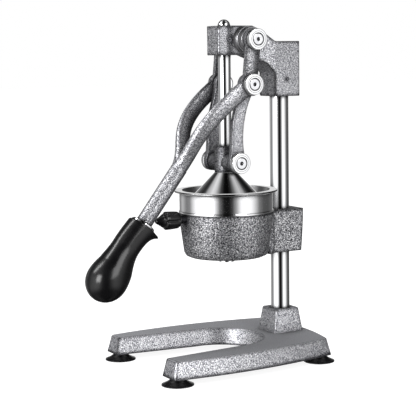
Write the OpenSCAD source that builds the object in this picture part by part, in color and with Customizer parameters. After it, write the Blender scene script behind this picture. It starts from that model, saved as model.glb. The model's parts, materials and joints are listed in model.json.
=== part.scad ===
// Lever citrus juice press: a U-shaped cast base on suction feet, a chromed column, a head
// bracket that guides a vertical press rod, and a forked lever that drives the rod through
// a pair of curved toggle links. Millimetres. The rod stands on the Z axis, the column is
// behind it on +Y, the handle points forward to -Y, and the feet stand on z = 0.

/* [Base] */
// Height of the casting's underside above the table
foot_h = 8.4; // [6:0.1:12]
// Height of the base casting
base_h = 19.6; // [14:0.1:28]
// Distance from the rod axis to the prong tips, at the top face
base_front = 111; // [95:1:130]
// Half of the width over the prong tips, at the top face
tip_half = 81; // [76:0.5:92]
// Width of a prong at its tip, at the top face
tip_w = 20.4; // [16:0.1:26]
// Half of the width between the two rear corners
rear_half = 70; // [62:0.5:80]
// Distance from the rod axis to the rear corners
rear_y = 91; // [86:0.5:110]
// How far the long sides bow outwards
side_bow = 10; // [0:0.5:14]
// How far the rear edge bows backwards
rear_bow = 10; // [0:0.5:16]
// Radius of the round end of the bay between the prongs
bay_r = 51; // [42:0.5:54]
// Distance from the rod axis forward to the centre of the bay's round end
bay_front = 11.5; // [8:0.5:30]
// How far the outer walls spread towards the table
base_draft = 4.2; // [1:0.1:6]
// Wall of the casting, which is hollow underneath
base_wall = 5; // [3.5:0.1:7]
// Thickness of the casting's top
base_deck = 6; // [4:0.1:8]
// Thickness of the ribs under the casting
rib_t = 4; // [3:0.1:6]

/* [Suction feet] */
// Radius of a suction foot's lip
foot_r = 17.7; // [14:0.1:20]
// Radius of a suction foot's neck under the casting
foot_neck_r = 7.6; // [6:0.1:10]
// Half of the distance between the two front feet
front_foot_x = 70.8; // [66:0.1:76]
// Distance from the rod axis forward to the front feet
front_foot_y = 104; // [90:0.5:112]
// Half of the distance between the two rear feet
rear_foot_x = 62.4; // [50:0.1:68]
// Distance from the rod axis back to the rear feet
rear_foot_y = 85.5; // [75:0.5:92]
// Diameter of the stud that holds a foot
foot_stud_d = 6; // [4:0.5:8]

/* [Column] */
// Diameter of the column
col_d = 22; // [18:0.5:26]
// Distance from the rod axis to the column axis
col_y = 73; // [70:0.5:78]
// Height of the tapered socket above the base's top face
socket_h = 27; // [18:0.5:36]
// Width of the socket at its top
socket_top_w = 31.4; // [30:0.2:36]
// Width of the socket at its foot
socket_foot_w = 39; // [36.5:0.2:44]
// Diameter of the bolt that draws the column into the base
col_bolt_d = 8; // [6:0.5:10]

/* [Head bracket] */
// Height of the bracket's top face above the table
head_top_z = 384.7; // [378:0.1:400]
// Height of the front block that guides the rod
head_block_h = 32.9; // [28:0.1:36]
// Width of the front block
head_front_w = 27.4; // [25:0.2:32]
// Distance from the rod axis to the bracket's front face
head_front_y = 15.1; // [13:0.1:20]
// Width of the rear block that clamps the column
head_rear_w = 34.2; // [30:0.2:40]
// Length of the rear block along the bracket
head_rear_len = 33.8; // [30:0.1:38]
// Distance from the column axis to the bracket's rear face
head_behind = 18.3; // [15:0.1:20]
// How far the rear block's top lies below the bracket's top face
head_drop = 17.6; // [10:0.1:24]
// Height of the rear block
head_rear_h = 63; // [45:0.5:70]
// Outer diameter of the guide bush
bush_d = 20; // [18:0.2:22]

/* [Lever linkage] */
// Distance from the rod axis back to the upper pivot
upper_y = 19; // [18:0.5:24]
// Depth of the upper pivot below the bracket's top face
upper_drop = 15.7; // [12:0.1:18]
// Distance from the rod axis back to the middle pivot, lever down
mid_y = 14; // [8:0.5:16]
// Depth of the middle pivot below the upper pivot, lever down
bar_drop = 50; // [46:0.5:54]
// Height of the lower pivot above the table, lever down
low_z = 231; // [229:0.5:236]
// Distance from the middle plane to a link's inner face
link_in_x = 23.5; // [22.5:0.1:26]
// Thickness of a link
link_t = 6.5; // [5:0.1:8]
// Width of a link at its waist
link_w = 14.4; // [10:0.1:16]
// How far a link bows forward between its eyes
link_bow = 6.5; // [0:0.5:9]
// Radius of a link's eyes
eye_r = 11.6; // [10:0.1:12]
// Thickness of the lever's hubs
hub_t = 6.6; // [5:0.1:8]
// Radius of the lever's hubs at the middle pivot
hub_r = 13; // [12:0.1:14]
// Diameter of the pivots' bearing sleeves
pivot_d = 11; // [9:0.5:12]
// Diameter of the pivots' screws
screw_d = 6; // [5:0.5:6]
// Radius of the pivots' chromed collars
collar_r = 11.8; // [10.5:0.1:12.4]
// Thickness of the pivots' chromed collars
collar_t = 6.1; // [5:0.1:8]

/* [Handle] */
// Angle of the handle's shaft from the vertical, lever down
shaft_tilt = 38; // [34:0.5:40]
// Diameter of the shaft
shaft_d = 18.6; // [15:0.2:20]
// Distance from the rod axis forward to the grip's ferrule
ferrule_y = 106; // [104:0.5:116]
// Height of the grip's ferrule above the table
ferrule_z = 167.6; // [160:0.1:176]
// Length of the shaft between the fork and the ferrule
shaft_len = 75; // [65:0.5:85]
// Length of the grip
grip_len = 97.6; // [85:0.1:120]
// Largest radius of the grip
grip_r = 23.4; // [20:0.2:26]
// Radius of the grip's waist
grip_waist_r = 16; // [13:0.2:18]
// How far the waist sways from the grip's axis, away from the finger guard
grip_sway = 2.6; // [0:0.1:4]
// How far the finger guard stands out from the grip's axis
guard_reach = 24.5; // [20:0.5:28]

/* [Press ram] */
// Diameter of the guide rod
rod_d = 14.4; // [12:0.2:16]
// Height of the rod's domed tip above the bracket's top face, lever down
rod_above = 7.2; // [6.4:0.2:14]
// Radius of the crosshead's hub
cross_r = 12.5; // [11.5:0.1:14]
// Height of the crosshead above the lower pivot
cross_up = 18.4; // [14:0.2:24]
// Depth of the crosshead below the lower pivot
cross_down = 11.6; // [11.4:0.1:12.4]
// Gap between the press cone's rim and the strainer's wall beside it
cone_gap = 1.8; // [1:0.1:4]
// Half angle of the press cone
cone_angle = 43.5; // [40:0.5:46]
// Wall of the press cone
cone_wall = 2; // [1.2:0.1:3]
// Height of the cone's straight rim
cone_rim_h = 6; // [3:0.5:9]

/* [Cups] */
// Height of the strainer's rolled rim above the table
rim_z = 199.3; // [196:0.1:202]
// Radius of the strainer's rolled rim
rim_r = 59.2; // [56:0.1:60]
// Radius of the funnel cup's bright band
band_r = 53.5; // [52.5:0.1:55]
// Height of the funnel cup's bright band and bead
band_h = 24; // [20:0.2:28]
// Sheet thickness of the cups
sheet = 1; // [0.8:0.1:1.4]
// Depth of the strainer
strainer_h = 33; // [28:0.5:34]
// Height of the fluted reamer above the strainer's floor
reamer_h = 29; // [22:0.5:32]
// Radius of the reamer's foot
reamer_r = 26; // [20:0.5:29]
// Diameter of the reamer's spigot, which is pressed into the strainer's floor
spigot_d = 10; // [6:0.5:14]
// Number of flutes on the reamer
flutes = 10; // [6:1:14]
// Number of juice slots in the strainer's floor
slots = 20; // [10:1:24]
// Radius of the funnel's spout
spout_r = 9; // [7:0.2:12]
// Height of the spout's mouth above the table
spout_z = 116; // [110:0.5:119]

/* [Cup holder] */
// Height of the holder's bowl
bowl_h = 51; // [44:0.5:56]
// Outer radius of the bowl at its rim
bowl_r = 54.2; // [53.4:0.1:56]
// Outer radius of the bowl at its bottom
bowl_foot_r = 48.2; // [45:0.1:51]
// Wall of the bowl
bowl_wall = 5.4; // [4.6:0.1:6.2]
// Width of the arm that clamps the column
arm_w = 38; // [34:0.5:44]
// Height of the arm
arm_h = 49.4; // [36:0.2:51]
// Distance from the column axis to the arm's rear face, at the arm's top
arm_behind = 21.7; // [18.5:0.1:24]
// How far the arm's top lies below the bowl's rim
arm_drop = 1; // [0:0.1:3]
// How far the arm's rear face leans forward down to its foot
arm_lean = 4.2; // [0:0.1:5]
// Diameter of the knob's screw
stud_d = 6; // [5:0.5:6]
// Distance from the rod axis to the face of the knob's boss
boss_y = 62; // [60:0.5:66]
// Length of the clamp knob
knob_len = 29; // [24:0.2:30]
// Radius of the clamp knob
knob_r = 10.3; // [8:0.1:11]

/* [Hidden] */
$fn = 72;

// Overrun that lets a cut pass cleanly through a face
over = 1;
// Radial clearance between a pin or shaft and its bore
fit = 0.05;
// Air between flat faces of two moving pieces
air = 0.3;
// Air between flat faces of two pieces that are clamped together
seat = 0.1;

// Heights that several pieces share
base_top_z = foot_h + base_h;
socket_z = base_top_z + socket_h;
seat_z = rim_z - band_h - sheet - air;

// Bolt under the column, and the bosses and ribs under the base
bolt_head_r = col_bolt_d * 0.8;
bolt_head_h = col_bolt_d * 0.55;
washer_r = col_bolt_d * 1.1;
washer_t = 1.6;
bolt_pocket_h = bolt_head_h + washer_t + seat;
socket_floor = 4;
column_z = foot_h + bolt_pocket_h + socket_floor;
bolt_grip = 16;
boss_wall = 5;

// Head bracket and upper pivots
upper_z = head_top_z - upper_drop;
mid_z = upper_z - bar_drop;
head_block_z = head_top_z - head_block_h;
head_rear_z = head_top_z - head_drop;
head_rear_low_z = head_rear_z - head_rear_h;
back_face_y = col_y + head_behind;
rear_face_y = back_face_y - head_rear_len;
head_round = 2.2;
column_top_z = head_rear_z - 7 * head_round;
grub_d = 4.8;
grub_sink = 0.6;
front_grub_z = upper_z;
rear_grub_z = head_rear_low_z + head_rear_h * 0.31;

// Linkage planes, outwards from the middle plane
link_out_x = link_in_x + link_t;
hub_in_x = link_out_x + air;
hub_out_x = hub_in_x + hub_t;
collar_x = hub_out_x + air;
low_collar_x = link_out_x + air;
spacer_r = collar_r * 1.3;
spacer_step_r = collar_r * 1.2;
spacer_mid_x = lerp(head_front_w / 2, hub_in_x, 0.55);
head_r = 6.3;
head_h = 3.2;
socket_af = 4;
nut_r = pivot_d * 0.82;
nut_t = 2;
screw_bite = 9;

// Handle
shaft_r = shaft_d / 2;
tang_r = shaft_r * 0.7;
tang_len = grip_len * 0.6;
ferrule_r = 14.4;
ferrule_t = 2.6;
bar_w = 19;
bar_bevel = 3.8;

// Ram
rod_r = rod_d / 2;
cross_top_z = low_z + cross_up;
cross_low_z = low_z - cross_down;
rod_top_z = head_top_z + rod_above;
boss_out_x = link_in_x - air;
boss_r = 10.4;
cone_plate = 3.4;
cone_screw_d = 8;
cone_screw_up = 14;

// Cups and holder
bead = 0.8;
funnel_r = bowl_r - bowl_wall - air;
floor_z = rim_z - strainer_h;
floor_bend = 4 * sheet;
strainer_foot_r = funnel_r - 4.2 * sheet;
strainer_top_r = band_r - 2.8 * sheet;
floor_r = strainer_foot_r - floor_bend;
strainer_flare = (strainer_top_r - strainer_foot_r) / (strainer_h - floor_bend);
bowl_z = seat_z - seat - bowl_h;
arm_z = seat_z - seat - arm_drop - arm_h;
arm_back_y = col_y + arm_behind;
bowl_floor = 4.5;
knob_z = seat_z - 5.4;
knob_boss_r = 4.6;
knob_y = boss_y + air;

// Radius of the press cone's rim, which keeps cone_gap from the flared wall of the strainer
cone_top_z = cross_low_z - seat;
cone_tip_z = cone_top_z + cross_r / tan(cone_angle);
cone_r = (strainer_foot_r - cone_gap
          + strainer_flare * (cone_tip_z - cone_rim_h - floor_z - floor_bend))
         / (1 + strainer_flare / tan(cone_angle));

function lerp(a, b, t) = a + (b - a) * t;
function unit(v) = v / norm(v);

// Points that round the corner v between its neighbours p and q, cut back by r
function corner(p, v, q, r) =
    let (a = v + r * unit(p - v), b = v + r * unit(q - v))
    [for (t = [0 : 0.25 : 1]) lerp(lerp(a, v, t), lerp(v, b, t), t)];

// A point on the quartic curve with the five poles p
function curve(p, t) =
    let (s = 1 - t)
    pow(s, 4) * p[0] + 4 * pow(s, 3) * t * p[1] + 6 * s * s * t * t * p[2]
    + 4 * s * pow(t, 3) * p[3] + pow(t, 4) * p[4];

// A closed solid through rings of equally many points, each ring counter-clockwise
module loft(rings) {
    n = len(rings[0]);
    last = len(rings) - 1;
    polyhedron(
        points = [for (ring = rings) for (p = ring) p],
        faces = concat(
            [[for (i = [0 : n - 1]) i]],
            [for (k = [0 : last - 1]) for (i = [0 : n - 1])
                [k * n + i, (k + 1) * n + i, (k + 1) * n + (i + 1) % n]],
            [for (k = [0 : last - 1]) for (i = [0 : n - 1])
                [k * n + i, (k + 1) * n + (i + 1) % n, k * n + (i + 1) % n]],
            [[for (i = [n - 1 : -1 : 0]) last * n + i]]));
}

// A cylinder along X from x0 to x1
module bar_x(r, x0, x1) {
    translate([x0, 0, 0]) rotate([0, 90, 0]) cylinder(r = r, h = x1 - x0);
}

// Both mirror twins of a piece
module both_sides() {
    children();
    mirror([1, 0, 0]) children();
}

// A flat outline in the YZ plane, extruded along X from x0 to x1
module plate_x(x0, x1) {
    translate([x0, 0, 0]) rotate([90, 0, 90]) linear_extrude(height = x1 - x0) children();
}

// A hexagonal recess that opens upwards at z = 0
module hex_socket(af, depth) {
    translate([0, 0, -depth]) cylinder(d = af / cos(30), h = depth + over, $fn = 6);
}

// Outer outline of the base at height z, spread outwards by g
function base_ring(g, z) =
    let (cut = tip_w / 6,
         tip = [tip_half + g, -base_front - g],
         back = [rear_half + g, rear_y + g],
         side = [for (i = [1 : 9]) let (t = i / 10)
             [lerp(tip_half, rear_half, t) + g + 4 * side_bow * t * (1 - t),
              lerp(-base_front, rear_y, t) + g * (2 * t - 1)]],
         rear = [for (i = [1 : 9]) let (t = i / 10)
             [lerp(back[0], -back[0], t), back[1] + 4 * rear_bow * t * (1 - t)]],
         right = concat(corner([0, tip[1]], tip, side[0], cut), side,
                        corner(side[8], back, rear[0], cut)),
         n = len(right))
    [for (p = concat(right, rear, [for (i = [n - 1 : -1 : 0]) [-right[i][0], right[i][1]]]))
        [p[0], p[1], z]];

// Outline of the bay between the prongs at height z, narrowed by g
function bay_ring(g, z) =
    let (r = bay_r - 0.8 * g,
         flare = asin((tip_half - tip_w - bay_r) / (base_front - bay_front)),
         mouth_y = base_front + base_draft + over,
         mouth = r * cos(flare) + (mouth_y - bay_front - r * sin(flare)) * tan(flare),
         arc = [for (i = [0 : 20]) let (a = -flare + i * (180 + 2 * flare) / 20)
             [r * cos(a), r * sin(a) - bay_front]])
    [for (p = concat([[mouth, -mouth_y]], arc, [[-mouth, -mouth_y]])) [p[0], p[1], z]];

foot_places = [[front_foot_x, -front_foot_y], [-front_foot_x, -front_foot_y],
               [rear_foot_x, rear_foot_y], [-rear_foot_x, rear_foot_y]];
stud_up = base_h * 0.6;

module base() {
    color("darkgray") difference() {
        union() {
            loft([base_ring(base_draft, foot_h),
                  base_ring(base_draft * 0.06, base_top_z - base_h * 0.05),
                  base_ring(-base_draft * 0.25, base_top_z)]);
            socket_block();
        }
        loft([bay_ring(base_draft * (1 + over / base_h), foot_h - over),
              bay_ring(base_draft * 0.06, base_top_z - base_h * 0.05),
              bay_ring(-base_draft * 0.25, base_top_z),
              bay_ring(-base_draft * 0.25, base_top_z + over)]);
        base_cavity();
        translate([0, col_y, column_z]) cylinder(d = col_d + 2 * fit, h = socket_z);
        translate([0, col_y, foot_h - over]) cylinder(d = col_bolt_d + 2 * fit, h = base_top_z);
        translate([0, col_y, foot_h - over]) cylinder(r = washer_r + air, h = bolt_pocket_h + over);
        for (p = foot_places)
            translate([p[0], p[1], foot_h - over]) cylinder(d = foot_stud_d + 2 * fit, h = stud_up + over);
    }
}

// The hollow under the casting, which leaves the walls, the bosses and the ribs
module base_cavity() {
    top = base_top_z - base_deck;
    low = foot_h - over;
    h = base_h + 2 * over;
    side = 2 * (rear_half + side_bow);
    bay_wall = 1.25 * base_wall;
    rib_rows = [-0.62 * base_front, -0.22 * base_front, 0.3 * rear_y];
    fan_angle = 12;
    difference() {
        loft([base_ring(base_draft - base_wall, low), base_ring(-base_wall, top)]);
        loft([bay_ring(base_draft - bay_wall, low - over), bay_ring(-bay_wall, top + over)]);
        for (p = foot_places)
            translate([p[0], p[1], low]) cylinder(r = foot_stud_d / 2 + boss_wall, h = h);
        translate([0, col_y, low]) cylinder(r = col_d / 2 + 2 * boss_wall, h = h);
        for (y = rib_rows)
            translate([-side, y, low]) cube([2 * side, rib_t, h]);
        translate([-rib_t / 2, 0, low]) cube([rib_t, col_y, h]);
        both_sides()
            translate([0, col_y, low]) rotate([0, 0, fan_angle])
                translate([0, -rib_t / 2, 0]) cube([rear_half, rib_t, h]);
    }
}

// The tapered square socket, with rounded upright edges
module socket_block() {
    sink = base_h / 4;
    grow = (socket_foot_w - socket_top_w) / socket_h;
    foot_w = socket_foot_w + grow * sink;
    rings = [for (s = [[foot_w, base_top_z - sink], [socket_top_w + grow, socket_z - sink / 5],
                       [socket_top_w - grow * sink, socket_z]])
        let (h = s[0] / 2, c = [[h, -h], [h, h], [-h, h], [-h, -h]])
        [for (i = [0 : 3])
            for (p = corner(c[(i + 3) % 4], c[i], c[(i + 1) % 4], socket_top_w / 12))
                [p[0], p[1] + col_y, s[1]]]];
    loft(rings);
}

module suction_foot() {
    lip = foot_h * 0.12;
    rotate_extrude() polygon([
        [0, foot_h * 0.42], [foot_r * 0.6, foot_h * 0.3], [foot_r * 0.9, 0], [foot_r, 0],
        [foot_r, lip], [foot_r * 0.86, foot_h * 0.24], [foot_r * 0.62, foot_h * 0.5],
        [foot_neck_r * 1.04, foot_h * 0.8], [foot_neck_r, foot_h - seat], [0, foot_h - seat]]);
}

module suction_feet() {
    color([0.06, 0.06, 0.06]) for (p = foot_places)
        translate([p[0], p[1], 0]) difference() {
            suction_foot();
            translate([0, 0, foot_h * 0.6]) cylinder(d = foot_stud_d + 2 * fit, h = foot_h);
        }
}

module foot_studs() {
    color("silver") for (p = foot_places)
        translate([p[0], p[1], foot_h * 0.6 + seat])
            cylinder(d = foot_stud_d, h = foot_h * 0.4 + stud_up - 2 * seat);
}

module column() {
    color("gainsboro") translate([0, col_y, 0]) difference() {
        translate([0, 0, column_z + seat]) cylinder(d = col_d, h = column_top_z - column_z - seat);
        cylinder(d = col_bolt_d + 2 * fit, h = column_z + bolt_grip);
    }
}

module column_bolt() {
    top = foot_h + bolt_head_h;
    color("silver") translate([0, col_y, 0]) difference() {
        union() {
            translate([0, 0, foot_h]) cylinder(r = bolt_head_r, h = bolt_head_h);
            translate([0, 0, top]) cylinder(d = col_bolt_d, h = column_z + bolt_grip - seat - top);
        }
        translate([0, 0, foot_h]) mirror([0, 0, 1]) hex_socket(col_bolt_d * 0.7, bolt_head_h * 0.6);
    }
}

module column_washer() {
    color("silver") translate([0, col_y, foot_h + bolt_head_h]) difference() {
        cylinder(r = washer_r, h = washer_t);
        translate([0, 0, -over]) cylinder(d = col_bolt_d + 2 * fit, h = washer_t + 2 * over);
    }
}

// Side view of the bracket: front block, swan neck and rear block
module head_side() {
    neck = rear_face_y - upper_y;
    crest_y = upper_y + neck * 0.5;
    offset(r = head_round, $fn = 32) offset(delta = -head_round)
    offset(r = -2 * head_round, $fn = 32) offset(delta = 2 * head_round)
        polygon([
            [-head_front_y, head_block_z], [upper_y + neck * 0.14, head_block_z],
            [upper_y + neck * 0.42, head_block_z - head_block_h * 0.13],
            [upper_y + neck * 0.75, head_block_z - head_block_h * 0.31],
            [rear_face_y, head_block_z - head_block_h * 0.62],
            [rear_face_y, head_rear_low_z], [back_face_y, head_rear_low_z],
            [back_face_y, head_rear_z], [rear_face_y, head_rear_z],
            [lerp(crest_y, rear_face_y, 0.4), head_top_z - head_drop * 0.53],
            [crest_y, head_top_z - head_drop * 0.21], [lerp(upper_y, crest_y, 0.5), head_top_z],
            [-head_front_y, head_top_z]]);
}

// Top view of the bracket, which widens towards the rear block
module head_plan() {
    f = head_front_w / 2;
    b = head_rear_w / 2;
    neck_y = upper_y + spacer_r + air;
    offset(r = head_round, $fn = 32) offset(delta = -head_round)
        polygon([[-f, -head_front_y], [f, -head_front_y], [f, neck_y], [b, rear_face_y],
                 [b, back_face_y], [-b, back_face_y], [-b, rear_face_y], [-f, neck_y]]);
}

module head_bracket() {
    color("darkgray") difference() {
        intersection() {
            plate_x(-head_rear_w, head_rear_w) head_side();
            translate([0, 0, head_rear_low_z - over])
                linear_extrude(height = head_top_z - head_rear_low_z + 2 * over) head_plan();
        }
        translate([0, 0, head_block_z - head_block_h])
            cylinder(d = bush_d + 2 * fit, h = 3 * head_block_h);
        translate([0, col_y, head_rear_low_z - over])
            cylinder(d = col_d + 2 * fit, h = column_top_z + seat - head_rear_low_z + over);
        translate([0, upper_y, upper_z])
            bar_x(screw_d / 2 + fit, -head_rear_w, head_rear_w);
        translate([0, 0, front_grub_z]) bar_x(grub_d / 2 + fit, 0, head_front_w);
        translate([0, col_y, rear_grub_z]) bar_x(grub_d / 2 + fit, 0, head_rear_w);
    }
}

// A headless screw along X whose outer end at x1 has a hexagonal socket
module grub_screw(x0, x1) {
    difference() {
        bar_x(grub_d / 2, x0, x1);
        translate([x1, 0, 0]) rotate([0, 90, 0]) hex_socket(grub_d * 0.5, grub_d * 0.5);
    }
}

module bracket_set_screws() {
    color("dimgray") {
        translate([0, 0, front_grub_z])
            grub_screw(bush_d / 2 + 2 * fit, head_front_w / 2 - grub_sink);
        translate([0, col_y, rear_grub_z])
            grub_screw(col_d / 2 + 2 * fit, head_rear_w / 2 - grub_sink);
    }
}

module guide_bush() {
    color("darkgoldenrod") difference() {
        translate([0, 0, head_block_z]) cylinder(d = bush_d, h = head_block_h);
        translate([0, 0, head_block_z - over])
            cylinder(d = rod_d + 2 * fit, h = head_block_h + 2 * over);
    }
}

module upper_spacer_rings() {
    in_x = head_front_w / 2 + seat;
    color("silver") both_sides() translate([0, upper_y, upper_z]) {
        difference() {
            bar_x(spacer_r, in_x, spacer_mid_x);
            bar_x(screw_d / 2 + fit, 0, spacer_mid_x + over);
        }
        difference() {
            bar_x(spacer_step_r, spacer_mid_x + seat, hub_in_x - air);
            bar_x(screw_d / 2 + fit, 0, hub_in_x);
        }
    }
}

// A chromed collar that starts at x0, is t thick and carries a sleeve back to x_in
module collar(x0, t, x_in) {
    edge = t * 0.18;
    head_pocket = head_h + seat;
    rotate([0, 90, 0]) difference() {
        rotate_extrude() polygon([
            [0, x_in], [pivot_d / 2, x_in], [pivot_d / 2, x0], [collar_r, x0],
            [collar_r, x0 + t - edge], [collar_r - 0.3 * edge, x0 + t - 0.3 * edge],
            [collar_r - edge, x0 + t], [0, x0 + t]]);
        translate([0, 0, x_in - over]) cylinder(d = screw_d + 2 * fit, h = x0 + t);
        translate([0, 0, x0 + t - head_pocket]) cylinder(r = head_r + 3 * fit, h = head_pocket + over);
    }
}

// A socket screw whose head ends at x_out and whose shank ends at x_in
module pivot_screw(x_out, x_in) {
    round_edge = head_h * 0.12;
    rotate([0, 90, 0]) difference() {
        rotate_extrude() polygon([
            [0, x_in], [screw_d / 2, x_in], [screw_d / 2, x_out - head_h],
            [head_r, x_out - head_h], [head_r, x_out - round_edge],
            [head_r - round_edge, x_out], [0, x_out]]);
        translate([0, 0, x_out]) hex_socket(socket_af, head_h * 0.7);
    }
}

module upper_pivot_collars() {
    color("gainsboro") both_sides() translate([0, upper_y, upper_z])
        collar(collar_x, collar_t, hub_in_x - air + seat);
}

module upper_pivot_screws() {
    color("gainsboro") both_sides() translate([0, upper_y, upper_z])
        pivot_screw(collar_x + collar_t, head_front_w / 2 - screw_bite);
}

module middle_pivot_collars() {
    color("gainsboro") both_sides() translate([0, mid_y, mid_z])
        collar(collar_x, collar_t, hub_in_x);
}

module middle_pivot_screws() {
    color("gainsboro") both_sides() translate([0, mid_y, mid_z])
        pivot_screw(collar_x + collar_t, hub_in_x);
}

module lower_pivot_collars() {
    color("gainsboro") both_sides() translate([0, 0, low_z])
        collar(low_collar_x, collar_t, boss_out_x + seat);
}

module lower_pivot_screws() {
    color("gainsboro") both_sides() translate([0, 0, low_z])
        pivot_screw(low_collar_x + collar_t, boss_out_x - screw_bite);
}

// The part of the middle pivot that a link carries: a plug in its eye with a flat nut inside
module link_nut() {
    translate([0, mid_y, mid_z]) {
        bar_x(pivot_d / 2, link_in_x - seat, link_out_x);
        difference() {
            bar_x(nut_r, link_in_x - seat - nut_t, link_in_x - seat);
            translate([link_in_x - seat - nut_t, 0, 0]) rotate([0, -90, 0])
                hex_socket(socket_af, nut_t * 0.6);
        }
    }
}

module left_link_nut() {
    color("silver") mirror([1, 0, 0]) link_nut();
}

module right_link_nut() {
    color("silver") link_nut();
}

// Outline of a link: two eyes and a waist that bows forward, widening into the eyes
module link_outline() {
    low = [0, low_z];
    mid = [mid_y, mid_z];
    along = unit(mid - low);
    across = [along[1], -along[0]];
    steps = 24;
    function spine(t) = lerp(low, mid, t) - across * link_bow * sin(180 * t);
    function half(t) = lerp(link_w / 2, eye_r, pow(abs(2 * t - 1), 4));
    union() {
        translate(low) circle(r = eye_r);
        translate(mid) circle(r = eye_r);
        polygon(concat(
            [for (i = [0 : steps]) spine(i / steps) + across * half(i / steps)],
            [for (i = [steps : -1 : 0]) spine(i / steps) - across * half(i / steps)]));
    }
}

module link() {
    difference() {
        plate_x(link_in_x, link_out_x) link_outline();
        for (p = [[0, low_z], [mid_y, mid_z]])
            translate([0, p[0], p[1]]) bar_x(pivot_d / 2 + fit, link_in_x - over, link_out_x + over);
    }
}

module left_link() {
    color("darkgray") mirror([1, 0, 0]) link();
}

module right_link() {
    color("darkgray") link();
}

// The handle's own frame: z runs down the shaft from the ferrule, y points to the guard
module handle_frame() {
    translate([0, -ferrule_y, ferrule_z]) rotate([180 + shaft_tilt, 0, 180]) children();
}

// One arm of the fork, from the hub at the middle pivot into the top of the shaft
module fork_arm() {
    down = [0, -sin(shaft_tilt), -cos(shaft_tilt)];
    top = [0, -ferrule_y, ferrule_z] - (shaft_len - shaft_r / 2) * down;
    hub = [(hub_in_x + hub_out_x) / 2, mid_y, mid_z];
    reach = norm(hub - top);
    poles = [hub, hub + reach * [0.015, -0.203, -0.116], hub + reach * [-0.02, -0.577, -0.422],
             top + reach * [0.066, 0.192, 0.265], top];
    steps = 18;
    rings = [for (k = [0 : steps])
        let (t = k / steps,
             p = curve(poles, t),
             q = curve(poles, t + 0.01),
             ahead = unit(q - p),
             across = unit(cross(ahead, [1, 0, 0])),
             side = cross(ahead, across),
             wide = lerp(shaft_r * 0.94, hub_r * 0.8, pow(1 - t, 2)),
             thick = lerp(hub_t * 0.48, shaft_r * 0.87, pow(max(0, t - 0.1) / 0.9, 0.75)))
        [for (i = [0 : 19])
            p + wide * cos(18 * i) * across + thick * sin(18 * i) * side]];
    loft(rings);
}

// The flat bar between the middle and the upper pivot, bevelled along its rear outer edge
module toggle_bar() {
    run = [upper_y - mid_y, upper_z - mid_z];
    x0 = hub_in_x + air;
    x1 = hub_out_x - air;
    translate([0, mid_y, mid_z]) rotate([-atan2(run[0], run[1]), 0, 0])
        linear_extrude(height = norm(run))
            polygon([[x0, -bar_w / 2], [x1, -bar_w / 2], [x1, bar_w * 0.06],
                     [x1 - bar_bevel, bar_w / 2], [x0, bar_w / 2]]);
}

module lever_yoke() {
    color("darkgray") difference() {
        union() {
            both_sides() {
                fork_arm();
                toggle_bar();
                translate([0, mid_y, mid_z]) bar_x(hub_r, hub_in_x, hub_out_x);
                translate([0, upper_y, upper_z]) bar_x(collar_r * 1.03, hub_in_x, hub_out_x);
            }
            handle_frame() {
                translate([0, 0, -shaft_len]) cylinder(r = shaft_r, h = shaft_len - seat);
                translate([0, 0, -shaft_r]) cylinder(r = tang_r, h = tang_len + shaft_r);
            }
        }
        translate([0, mid_y, mid_z]) {
            bar_x(pivot_d / 2 + fit, hub_in_x - 3 * hub_t, collar_x + over);
            bar_x(pivot_d / 2 + fit, -collar_x - over, 3 * hub_t - hub_in_x);
        }
        translate([0, upper_y, upper_z])
            bar_x(pivot_d / 2 + fit, -collar_x - over, collar_x + over);
    }
}

module grip_ferrule() {
    edge = ferrule_t * 0.3;
    color("gainsboro") handle_frame() difference() {
        rotate_extrude() polygon([
            [0, 0], [ferrule_r - edge, 0], [ferrule_r, edge], [ferrule_r, ferrule_t], [0, ferrule_t]]);
        translate([0, 0, -over]) cylinder(r = tang_r + fit, h = ferrule_t + 2 * over);
    }
}

// Radius of the grip at the share s of its length: collar, waist, bulb and round end
function grip_radius(s) =
    s < 0.3 ? lerp(grip_waist_r * 1.05, grip_waist_r, sin(300 * s))
    : s < 0.74 ? lerp(grip_waist_r, grip_r, (1 - cos(180 * (s - 0.3) / 0.44)) / 2)
    : grip_r * sqrt(1 - pow((s - 0.74) / 0.26, 2));

// Section of the grip at the share s of its length; the waist sways away from the guard
function grip_ring(s) =
    let (r = grip_radius(min(s, 0.999)), y = -grip_sway * sin(180 * min(1, s / 0.56)))
    [for (a = [0 : 9 : 351]) [r * cos(a), y + r * sin(a), s * grip_len]];

module handle_grip() {
    z0 = ferrule_t + seat;
    steps = 22;
    lip = guard_reach * 0.1;
    color([0.07, 0.07, 0.08]) handle_frame() difference() {
        union() {
            translate([0, 0, z0]) loft([for (i = [0 : steps]) grip_ring(i / steps)]);
            finger_guard(z0, lip);
        }
        translate([0, 0, z0 - over]) cylinder(r = tang_r + fit, h = tang_len + over - z0);
    }
}

// The beak on the rear side of the grip's top that stops the hand
module finger_guard(z0, lip) {
    hull($fn = 32) {
        translate([0, guard_reach - lip, z0 + 1.6 * lip]) sphere(r = lip);
        translate([grip_waist_r * 0.3, guard_reach - 1.6 * lip, z0 + 1.6 * lip]) sphere(r = lip);
        translate([-grip_waist_r * 0.3, guard_reach - 1.6 * lip, z0 + 1.6 * lip]) sphere(r = lip);
        translate([0, grip_waist_r * 0.2, z0]) cylinder(r = grip_waist_r * 0.76, h = lip);
        translate([0, grip_waist_r * 0.45, z0 + grip_len * 0.15])
            cylinder(r = grip_waist_r * 0.5, h = lip);
    }
}

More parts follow.
